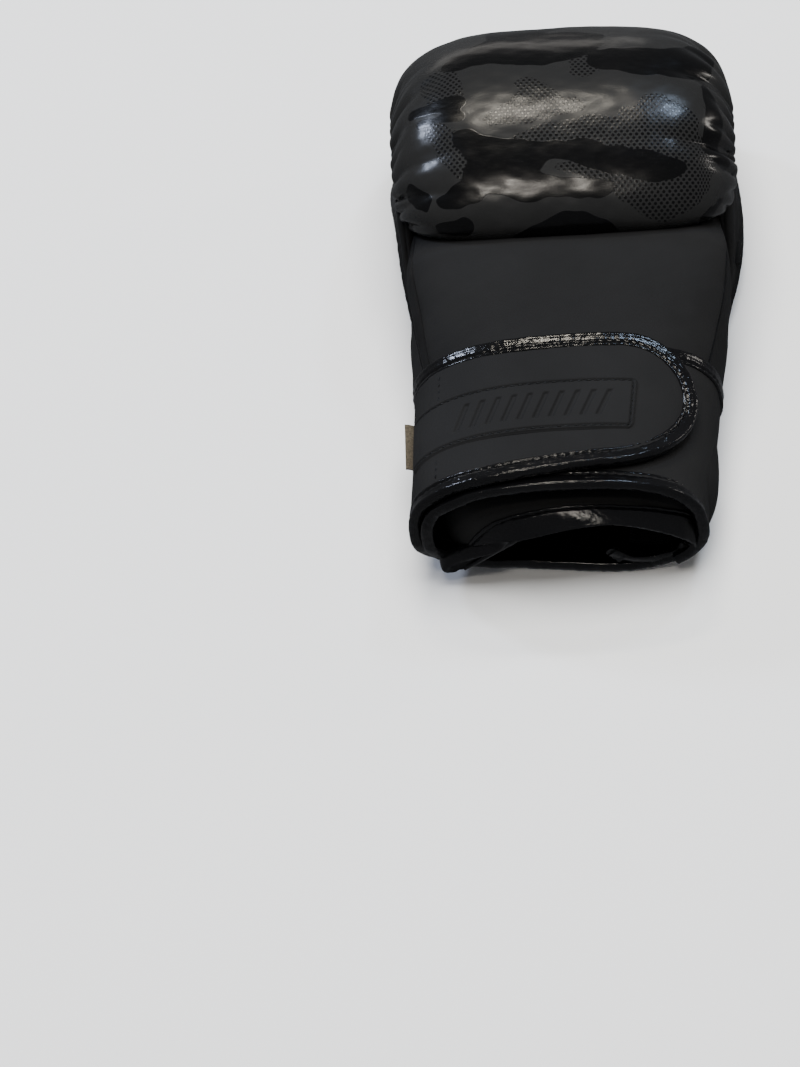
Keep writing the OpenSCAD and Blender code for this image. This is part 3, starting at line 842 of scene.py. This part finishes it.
def back_panel():
    """The back of the hand: a padded matt panel between two side seams, tucked under strap and pad."""
    s, t = sample(110, 120)
    psi = mix(panel_side(s), 180 - panel_side(s), t)
    edge = np.minimum(t, 1 - t) * 110
    crown = 1.5 * (1 - np.exp(-edge / 2.4)) - 2.3 * np.exp(-(edge / 1.5) ** 2) - 0.5
    outer = panel_point(s, psi)
    crown = crown + 0.22 * ripple(outer, 38, 21) + 0.05 * ripple(outer, 9, 22)
    outer = panel_point(s, psi, crown)
    tucked = ease((0.13 - s) / 0.13)
    outer[..., 2] -= 5 * tucked
    inner = hand(mix(TUCKED_Y, SEAM_Y, s), psi, 6.5)
    inner = mix(inner, panel_point(1 + 0 * s, psi) - [0, 0, 3], ease((s - 0.8) / 0.2)[..., None])
    inner[..., 2] -= 3 * tucked
    leather("back_panel", outer, inner, "back_panel_cover", "back_panel_foam", "knuckle_welt",
            bend=BACK_BEND, fill=0.5)


def side_panel(name, sign, low_edge, nodes, bulge):
    """One side wall from the strap to the pad's front edge: its top follows the back panel, then the pad."""
    s = np.linspace(0.02, 0.99, 60)
    psi = panel_side(s) - 1.2
    rear = panel_point(s, psi if sign > 0 else 180 - psi, -0.6)
    a = np.linspace(SEAM_A, RIM_A, 60)[2:]
    front = pad_surface(a, EDGE_PSI if sign > 0 else 180 - EDGE_PSI, 1.2)
    top = walk(np.concatenate([rear, front]), 1.0)
    bottom = spread(curve(low_edge, 0.5), len(top)) * [sign, 1, 1]
    share = np.linspace(0, 1, len(top))
    t = np.linspace(0, 1, 34)
    body = mix(top[:, None], bottom[:, None], t[None, :, None])
    swell = mix(bulge[0], bulge[1], ease((share - 0.38) / 0.2))[:, None] * np.sin(math.pi * t) ** 0.8
    body[..., 0] += sign * (swell + 0.35 * ripple(body, 30, 61) + 0.1 * ripple(body, 8, 62))
    leather(name, body, body - [1.6 * sign, 0, 0], *nodes, look=GUSSET, bend=FINGER_BEND)


def sides():
    """The two side walls, and the tape that runs along them and round the pad's front in one piece."""
    side_panel("side_panel_little", 1, LITTLE_EDGE, ("side_wall_little", "pad_side_wall_little"), (2.6, -0.8))
    side_panel("side_panel_index", -1, INDEX_EDGE, ("side_wall_index", "pad_side_wall_index"), (1.6, -1.0))
    psi = np.linspace(EDGE_PSI + 3, 177 - EDGE_PSI, 90)
    cover, inner = pad_surface(RIM_A, psi), space_surface(np.float64(RIM_A), psi, SPACE_GAP)
    rim = mix(cover, inner, 0.1)
    little = spread(curve(LITTLE_EDGE, 0.5), WALL)
    index = spread(curve(INDEX_EDGE, 0.5), WALL) * [-1, 1, 1]
    path = np.concatenate([little, rim + [0, 0, 0.4], index[::-1]])
    front = unit((cover - [0, PIVOT_Y, PIVOT_Z]) * [1.1, 1, 1])
    down = np.zeros((WALL, 3)) + [0, 0, -1]
    outward = np.concatenate([down, unit(rim - pad_surface(RIM_A + 4, psi)), down])
    normal = np.concatenate([0 * down + [1, 0, 0.6], front, 0 * down + [-1, 0, 0.6]])
    thin = np.full(WALL, 1.6)
    thick = np.concatenate([thin, np.linalg.norm(cover - inner, axis=-1) * 0.8, thin])
    for line in (path, outward, normal, thick):
        smooth(line, 12)
    path, outward, normal, thick = walk(path, 0.8, outward, normal, thick[:, None])
    edge_tape("rim_tape", path, outward, normal, thick[:, 0], "pad_rim_binding", seed=9, width=5.6,
              bend=FINGER_BEND)


# ---- wrist strap
U_STITCH = at_x(STITCH_X)
U_LITTLE = at_x(np.float64(WRIST_HW - 0.01))        # widest point on the little-finger side
U_JOIN = U_LITTLE + 30 - RING_LENGTH                # hidden join under the little-finger side


def first_turn_depth(u):
    """How deep the first turn lies: under the tongue and the thumb side, surfacing at the little finger."""
    p = wrist(u, 0.0)
    psi = np.degrees(np.arctan2(p[..., 2] - WRIST_MID, p[..., 0]))
    return 4.8 * ease((np.where(psi < -100, psi + 360, psi) + 26) / 46)


def on_top(u):
    """The palm band lies on the outside all the way."""
    return 0.0 * u


def strap_stretch(name, u0, u1, y0, y1, depth, seed, sheet_nodes, tape_node, u_tape, **place):
    """A stretch of strap, slightly crowned between the patent tapes along its two edges."""
    s, t = sample(int(abs(u1 - u0) / 1.2) + 2, 50)
    u, y = mix(u0, u1, s), mix(y0, y1, t)
    rise = 0.5 * (1 - np.abs(2 * t - 1) ** 5) + 0.12 * ripple(wrist(u, y), 34, 71)
    leather(name, wrist(u, y, depth(u) - rise), wrist(u, y, depth(u) + 2.4), *sheet_nodes, **place)
    for label, way, y in (("rear", -1, y0), ("front", 1, y1)):
        u = np.linspace(u0, u_tape, int(abs(u_tape - u0) / 0.7) + 2)
        path = wrist(u, y + 0.35 * ripple(wrist(u, y), 30, seed + way), depth(u))
        edge_tape(f"{name}_edge_{label}", path, np.array([0, way, 0.0]), wrist_normal(u), 2.4, tape_node,
                  seed=seed + way, **place)


def wound_strap():
    """The strap under the tongue, fixed to the glove, and its outer turn under the palm."""
    end = U_LITTLE + 30
    strap_stretch("first_turn", -26.0, end, STRAP_REAR - 2.2, STRAP_FRONT - 1.5, first_turn_depth, 80,
                  ("strap_first_turn", "loop_field"), "strap_first_turn_tape", end, body="glove_body")
    strap_stretch("palm_band", U_JOIN, U_STITCH + 1.5, STRAP_REAR, STRAP_FRONT, on_top, 90,
                  ("strap_palm_band",), "strap_palm_band_tape", U_STITCH, bend=STRAP_BEND)


def tongue_rear(x, y):
    """Narrows the tongue towards its tip by drawing its rear edge in."""
    back = np.clip((STRAP_FRONT - y) / (STRAP_FRONT - STRAP_REAR), 0, 1)
    return y + 5.0 * back ** 2 * ease((x + 35) / 75)


def tongue_outline():
    """x and y along the tongue's edge: rear edge, round tip, front edge."""
    centre = TIP_X - STRAP_R
    turn = np.radians(np.linspace(-90, 90, 120))
    side = np.linspace(STITCH_X, centre, 60)
    x = np.concatenate([side, centre + STRAP_R * np.cos(turn), side[::-1]])
    y = np.concatenate([0 * side - STRAP_R, STRAP_R * np.sin(turn), 0 * side + STRAP_R]) + STRAP_MID
    return walk(np.stack([x, tongue_rear(x, y)], -1), 0.7)


def tongue():
    """The closing stretch on the back of the wrist, with its round tip."""
    s, t = sample(120, 80)
    y = mix(STRAP_REAR, STRAP_FRONT, t)
    reach = np.sqrt(np.maximum(0, STRAP_R ** 2 - (y - STRAP_MID) ** 2))
    x = mix(STITCH_X, TIP_X - STRAP_R + reach - 0.6, s)
    u, y = at_x(x), tongue_rear(x, y)
    edge = np.minimum(np.minimum(t, 1 - t) * 2 * STRAP_R, (1 - s) * 90)
    rise = 0.55 * (1 - np.exp(-np.maximum(edge - 3, 0) / 3)) + 0.12 * ripple(wrist(u, y), 34, 72)
    leather("tongue", wrist(u, y, -rise), wrist(u, y, 2.8), "strap_tongue", "strap_tip", bend=TIP_BEND)
    outline = tongue_outline()
    u = at_x(outline[:, 0])
    along = np.gradient(outline, axis=0)
    edge_tape("tongue_edge", wrist(u, outline[:, 1]), points(along[:, 1], -along[:, 0], 0.0), wrist_normal(u),
              3.0, "strap_tongue_tape", "strap_tip_tape", seed=101, bend=TIP_BEND)


def patch_outline(inset):
    """x and y around the stitched patch on the tongue, its right-hand corners rounded."""
    left, right = PATCH_LEFT + inset, PATCH_RIGHT - inset
    low, high = PATCH_LOW + inset, PATCH_HIGH - inset
    r = PATCH_R - min(inset, PATCH_R / 2)
    path = [(left, low)]
    for cy, a0 in ((low + r, -90), (high - r, 0)):
        for a in np.radians(np.linspace(a0, a0 + 90, 8)):
            path.append((right - r + r * math.cos(a), cy + r * math.sin(a)))
    path.append((left, high))
    return walk(np.array(path), 0.5)


def patch_dents(x, y):
    """Depth of a plain row of slanted grooves pressed into the patch."""
    middle = (PATCH_LOW + PATCH_HIGH) / 2
    across = x - 0.35 * (y - middle)
    line = np.abs(np.mod(across + 42, 6) - 3) - 0.9
    inside = np.maximum(np.maximum(line, np.abs(y - middle) - 5.4), np.maximum(-42 - across, across - 18))
    return ease((0.5 - inside) / 1.0)


def patch():
    """The blank patch: a thin rectangle with a stitched border and pressed bars."""
    s, t = sample(260, 90)
    y = mix(PATCH_LOW, PATCH_HIGH, t)
    corner = np.maximum(0, PATCH_R - np.minimum(y - PATCH_LOW, PATCH_HIGH - y))
    x = mix(PATCH_LEFT, PATCH_RIGHT - PATCH_R + np.sqrt(np.maximum(0, PATCH_R * PATCH_R - corner ** 2)), s)
    edge = np.minimum(np.minimum(t, 1 - t) * (PATCH_HIGH - PATCH_LOW), (1 - s) * (PATCH_RIGHT - PATCH_LEFT))
    groove = np.exp(-((edge - 1.7) / 0.45) ** 2)
    rise = 0.62 + 0.75 * ease(edge / 0.9) - 0.65 * groove - 0.75 * patch_dents(x, y)
    u = at_x(x)
    leather("stitched_patch", wrist(u, y, -rise), wrist(u, y, 0.2), "blank_patch", body="strap_tongue")


def strap_stitches():
    """Thread along the patch and the strap's seam."""
    outline = patch_outline(1.7)
    u = at_x(outline[:, 0])
    rows = [(wrist(u, outline[:, 1], -0.85), wrist_normal(u))]
    for y0, y1 in ((STRAP_REAR + 6, PATCH_LOW - 0.5), (PATCH_HIGH + 0.5, STRAP_FRONT - 6)):
        u = np.full(30, at_x(STITCH_X + 4.5))
        rows.append((wrist(u, np.linspace(y0, y1, 30), -0.5), wrist_normal(u)))
    stitches("strap_stitches", rows, length=2.0, gap=1.0, radius=0.3, body="strap_tongue")


def hook_field():
    """Hook tape on the tongue's underside."""
    s, t = sample(60, 30)
    u = mix(at_x(-38.0), at_x(26.0), s)
    y = mix(STRAP_REAR + 9, STRAP_FRONT - 9, t)
    fuzz = 0.12 * ripple(wrist(u, y), 1.6, 8)
    settle(slab("hook_tape", wrist(u, y, 3.4 + fuzz), wrist(u, y, 2.3), HOOKS), "hook_tape", "hook_field",
           body="strap_tongue")


def size_tab():
    """A plain folded tab sewn in under the strap on the thumb side."""
    low, high = box_mm("size_tab")
    s, t = sample(24, 30)
    out = mix(0, high[0] - low[0] - 1.0, s)
    y = mix(low[1], high[1], t) + 0.5 * np.sin(s * 2.4)
    fold = 1.2 * np.sin(s * 1.8) * (0.6 + 0.4 * np.cos(3 * t))
    outer = points(high[0] + 0.8 - out, y, high[2] + fold + 1.5 * s + 0.4)
    settle(slab("folded_tab", outer, outer - [0, 0, 0.8], TAB), "woven_tab", "size_tab", body="glove_body")


# ---- cuff
# x and z of the sleeve's arch from its left flap to its right one: deep inside, and at its rim.
SLEEVE = [(-4, 26.5), (-17, 20.5), (-33, 12.8), (-44, 9.5), (-51, 13), (-53, 25), (-49, 37.5),
          (-33, 44.6), (-8, 47.0), (18, 46.4), (36, 41.8), (45.5, 33), (48, 22), (43, 11.5), (33, 7.6),
          (21, 8.2), (12, 12)]
SLEEVE_RIM = [(-44, 8.6), (-47, 8.2), (-50.4, 9.0), (-51, 12), (-47.5, 16.6), (-40, 21.8), (-30, 27.6),
              (-15, 34.2), (0, 37.4), (12, 36.6), (24, 32.2), (33, 25.5), (37.3, 18), (35.5, 10.5), (27, 6.4),
              (17, 7.0), (9, 12.0)]


def cuff():
    """The sleeve inside the strap: an arch whose left side folds flat and whose right side curls in."""
    inside, rim = curve(SLEEVE, 0.5), curve(SLEEVE_RIM, 0.5)
    count = int(lengths(rim)[-1] / 0.7)
    inside, rim = spread(inside, count), spread(rim, count)
    t = sample(count, 90)[1]
    open_end = CUFF_REAR + 4.5 - 6 * ease((rim[:, 1:] - 9) / 28) + 0 * t
    share = 1 - np.exp(-8.5 * t) * (1 - ease((t - 0.6) / 0.4))
    xz = mix(rim[:, None], inside[:, None], share[..., None])
    base = points(xz[..., 0], mix(open_end, STRAP_FRONT - 1, t), xz[..., 1])
    off = grid_normal(base)
    off = off * np.sign(off[count // 2, 0, 2])
    puff = 1.5 + 0.25 * ripple(base, 20, 33)
    leather("sleeve", base + off * puff[..., None], base - off * 0.9, "cuff_shell", look=GUSSET,
            body="glove_body", fill=0.4)
    cloth("sleeve_lining", base, base - off * 1.0, base - off * 1.9, ["sleeve"], "cuff_lining",
          body="glove_body")
    wrapped_tape("cuff_rim_tape", base, off, 1.6, 3.8, "cuff_binding", seed=55, width=11.0,
                 body="glove_body")
    for name, end, inner in (("left", 0, 1), ("right", -1, -2)):
        away = unit(base[end] - base[inner])
        edge_tape(f"cuff_flap_tape_{name}", base[end] + off[end] * 1.5, away, off[end], 3.0, seed=57,
                  body="glove_body")


def lining():
    """The ribbed lining: one ceiling from the wrist to the pad's front edge."""
    psi = np.linspace(30, 150, 90)
    rows = [hand(y, psi, 7.2 + 5 * ease((HAND_REAR + 4 - y) / 12))
            for y in np.linspace(HAND_REAR - 8, SEAM_Y - 4, 34)]
    rows += [space_surface(np.float64(a), psi, 1.2) for a in np.linspace(130, RIM_A + 1, 96)]
    grid = np.array(rows)
    grid = np.stack([spread(grid[:, j], 150) for j in range(grid.shape[1])], 1)
    smooth(grid, 5)
    down = facing(grid_normal(grid), [0, PIVOT_Y, 20] - grid)
    grid = grid + down * (0.3 * ripple(grid, 26, 41))[..., None]
    cloth("ceiling_lining", grid, grid, grid + down * 1.0, ["knuckle_pad", "back_panel"],
          "hand_lining", "finger_lining", bend=LINING_BEND)


# ---- palm and fingers
def palm_edge_y(x):
    """Front edge of the palm panel: one scallop per finger, further forward on the index side."""
    return mix(64, 59.5, (x - PANEL_LEFT) / 82) - 16 * np.abs(np.sin(np.pi * (x - PANEL_LEFT) / PITCH)) ** 0.7


def palm_z(x, y):
    return 9 + 9 * ((y - PANEL_REAR) / 36) ** 2 + 3 * (x / 60) ** 2


def palm_rear_y(x):
    """Rear edge of the palm panel: it runs back towards the little finger."""
    return mix(31.0, 20.5, ease((x + 20) / 46))


def palm_leather():
    """The leather panel under the fingers; returns its edge towards the index side."""
    s, t = sample(46, 140)
    x = mix(-31.0, 64.5, t)
    front = np.where((x > PANEL_LEFT) & (x < PANEL_RIGHT), palm_edge_y(x), 59.5 + 0 * x)
    front = mix(front, 61, ease((x - 55) / 9))
    y = mix(palm_rear_y(x), front, s)
    grid = points(x, y, palm_z(x, y) + 5.5 * ease((x - 54) / 11) + 2.2 * ease((-24 - x) / 9))
    grid[..., 2] += 0.5 * ripple(grid, 30, 43) + 0.12 * ripple(grid, 8, 44)
    leather("palm_leather", grid - [0, 0, 1.1], grid + [0, 0, 1.1], "palm_panel", body="finger_pad")
    return grid[:, 0]


def index_gusset(edge):
    """The fold that joins the palm panel to the index side, kept ahead of the thumb."""
    rear = [(-64.7, 61, 20), (-57, 61.5, 28), (-50, 60, 30), (-43, 51, 27), (-37, 39, 19), edge[0]]
    front = [(-64.8, 68, 17), (-56, 68, 27), (-46, 66, 30), (-38, 62.5, 26), edge[-1]]
    fold = between(rear, front, 44, 30)
    fold[..., 2] += 0.8 * ripple(fold, 22, 45)
    leather("index_gusset", fold - [0, 0, 0.7], fold + [0, 0, 0.7], look=GUSSET, body="finger_pad")


def palm_panel():
    """The palm's leather, the gusset beside it and the tape along its rear edge."""
    index_gusset(palm_leather())
    path = curve([(-30, 31.5, 12.5), (-18, 31, 10.5), (-6, 29, 9.8), (6, 25.5, 9.3), (18, 22, 9.3),
                  (30, 20.5, 9.8), (41, 19, 10.4), (47, 14.5, 10.6), (49.5, 6, 10.2), (50, -4, 10.0)])
    edge_tape("palm_rear_tape", path - [0, 0, 0.9], np.array([-0.35, -1.0, 0]), np.array([[0, 0, -1.0]]), 2.4,
              "palm_panel_binding", seed=61, width=7.5, crumple=0.16, bend=FINGER_BEND)


def finger_loops():
    """Folded dividers between the fingers and the tape that runs from each round its finger's edge."""
    for i, name in enumerate(FINGERS):
        x = PANEL_LEFT + i * PITCH
        front = [(x + 0.5, 58.5, 57.5), (x - 3.2, 62.5, 44), (x - 6, 64.5, 31), (x - 6, 62.5, 23),
                 (x - 2.6, 60, 18.8)]
        rear = [(x + 1, 47, 58), (x - 1.6, 51.5, 43), (x - 4, 55, 31), (x - 4, 55.5, 23), (x - 1, 55, 18)]
        if name == "index":
            front = [(-46, 57, 52), (-45, 61.5, 38), (-40, 63, 27), (-34, 62, 22)]
            rear = [(-47, 46, 55), (-46, 53, 38), (-40, 55, 27), (-33.5, 55.5, 21.5)]
        low = x + PITCH * np.array([0.1, 0.22, 0.36, 0.5, 0.64, 0.78, 0.9])
        scallop = [(u, palm_edge_y(u) + 0.8, palm_z(u, palm_edge_y(u)) - 1.0) for u in low]
        end = [(58.5, 59.5, 19.5), (63.5, 61.5, 24)] if name == "little" else [(x + PITCH - 3.6, 60.5, 22.5)]
        path = curve(front + scallop + end)
        away = (path - [x + PITCH / 2, 0, 34]) * [1, 0, 1]
        edge_tape(f"finger_edge_tape_{name}", path, np.array([0, 1.0, 0]), unit(away), 3.0,
                  f"finger_edge_{name}", seed=110 + i, width=6.2, body="finger_pad")
        fin = between(front, rear, 40, 16)
        fin[..., 0] += 0.5 * ripple(fin, 12, 120 + i)
        divider = [f"finger_divider_{FINGERS[i - 1]}"] if i else []
        leather(f"finger_fin_{name}", fin + [0.7, 0, 0], fin - [0.7, 0, 0], *divider, look=GUSSET,
                body="finger_pad")


def heel_edge_y(psi):
    """Front edge of the heel pad: a quarter round that runs back towards the middle of the palm."""
    q = np.clip((60 - hand(-30.0, psi)[..., 0]) / 57, 0, 1)
    return -9 - 30 * (1 - np.sqrt(1 - q * q))


def heel():
    """The padded heel of the palm on the little-finger side, with its curved tape."""
    s, t = sample(50, 80)
    psi = mix(-36.0, -88.0, t)
    top = heel_edge_y(psi)
    y = mix(TUCKED_Y, top, s)
    edge = np.minimum((top - y), 30)
    deep = 3.2 * ease((HAND_REAR + 3 - y) / 8) - 0.5 * (1 - np.exp(-edge / 3))
    base = hand(y, psi)
    deep = deep + 0.25 * ripple(base, 28, 51) + 0.06 * ripple(base, 9, 52)
    leather("heel_pad", hand(y, psi, deep), hand(y, psi, deep + 4.6), "heel_panel", "heel_foam",
            body="glove_body", fill=0.5)
    psi = np.linspace(-35, -89, 120)
    top = heel_edge_y(psi)
    normal = hand(top, psi, -1.0) - hand(top, psi, 0.0)
    path, normal = walk(hand(top + 0.4, psi), 0.8, normal)
    edge_tape("heel_tape", path, np.array([-0.6, 1, 0]), normal, 4.4, "heel_binding", seed=63, width=6.5,
              body="glove_body")


# ---- thumb
def thumb_surface(s, psi, depth=0.0):
    """The thumb sheath's outside; s runs from its root to its tip."""
    q = np.clip(s, 0, 1.2)
    wide, high = mix(26.0, 13.5, q ** 0.8), mix(17.0, 13.5, q)
    cx, cz = squircle(psi, 2.5)
    x = -58.5 + wide + (wide - depth) * cx
    return points(x, mix(THUMB_REAR, THUMB_FRONT, s), mix(19.0, 17.5, q) + (high - depth) * cz)


def thumb_edges(s):
    """Where the sheath's back and palm edges lie."""
    q = np.clip(s, 0, 1)
    return mix(78.0, 114.0, q), mix(334.0, 258.0, q ** 0.75)


def thumb_tuck(s):
    """How deep the sheath's root is tucked into the hand part."""
    return 5.0 * ease(-s / 0.07)


def thumb_sheath():
    """The open sheath: padded outside with a stitched pocket, and lined inside."""
    s, t = sample(110, 110)
    s = mix(-0.09, 1.0, s)
    back, palm = thumb_edges(s)
    psi = mix(back, palm, t)
    tucked = thumb_tuck(s)
    round_end = 1.2 * ease((s - 0.9) / 0.1) ** 2
    before_seam = THUMB_SEAM - psi
    seam = np.exp(-(before_seam / 1.6) ** 2) * (s > 0.06) * ease((0.66 - s) / 0.03)
    cross = np.exp(-((s - 0.07) / 0.011) ** 2) * ease(before_seam / 3) * ease((psi - 120) / 20)
    pocket = ease(before_seam / 16) * ease((s - 0.075) / 0.05)
    edge = np.minimum(psi - back, palm - psi) / 14
    base = thumb_surface(s, psi)
    crown = 1.5 * pocket * ease(edge) - 1.2 * seam - 1.0 * cross
    crown = crown + 0.3 * ripple(base, 30, 53) + 0.08 * ripple(base, 9, 54)
    outer = thumb_surface(s, psi, tucked + round_end - crown)
    leather("thumb_sheath", outer, thumb_surface(s, psi, tucked + 4.6), "thumb_cover", "thumb_foam",
            bend=THUMB_BEND, fill=0.5)
    grid = thumb_surface(s, psi, tucked + 4.9)
    cloth("sheath_lining", grid, grid, thumb_surface(s, psi, tucked + 5.8), ["thumb_sheath"], "thumb_lining",
          bend=THUMB_BEND)


def thumb_tape():
    """One tape from the root along the palm edge, over the tip and back along the other edge."""
    q = np.linspace(-0.05, 1.0, 140)
    back, palm = thumb_edges(q)
    end = np.linspace(palm[-1], back[-1], 60)[1:-1]
    s = np.concatenate([q, 1.0 + 0.008 * np.sin(np.linspace(0, math.pi, 58)), q[::-1]])
    psi = np.concatenate([palm, end, back[::-1]])
    tuck = thumb_tuck(s)
    path = thumb_surface(s, psi, tuck + 0.3)
    out = thumb_surface(s, psi, tuck - 0.7) - path
    outward = unit(path - thumb_surface(s, 0 * psi + 190)) + np.array([0, 2.0, 0]) * (s > 0.985)[:, None]
    path, out, outward = walk(path, 0.8, out, outward)
    edge_tape("thumb_tape", path, outward, out, 4.6, "thumb_binding", seed=65, width=6.5, bend=THUMB_BEND)


def thumb_stitches():
    """A double row of thread along the pocket's seam and one row across its end."""
    s, psi = np.linspace(0.09, 0.64, 160), np.linspace(150, THUMB_SEAM - 2, 160)
    lines = [(s, THUMB_SEAM + off + 0 * s, 0.25) for off in (-2.2, 2.2)] + [(0.052 + 0 * psi, psi, 0.05)]
    rows = []
    for u, v, depth in lines:
        place = thumb_surface(u, v, depth)
        rows.append((place, thumb_surface(u, v, depth - 1.0) - place))
    stitches("thumb_stitches", rows, length=2.1, gap=0.9, radius=0.26, bend=THUMB_BEND)


camera()
studio()
knuckle_pad()
back_panel()
sides()
wound_strap()
tongue()
patch()
strap_stitches()
hook_field()
size_tab()
cuff()
lining()
palm_panel()
finger_loops()
heel()
thumb_sheath()
thumb_tape()
thumb_stitches()
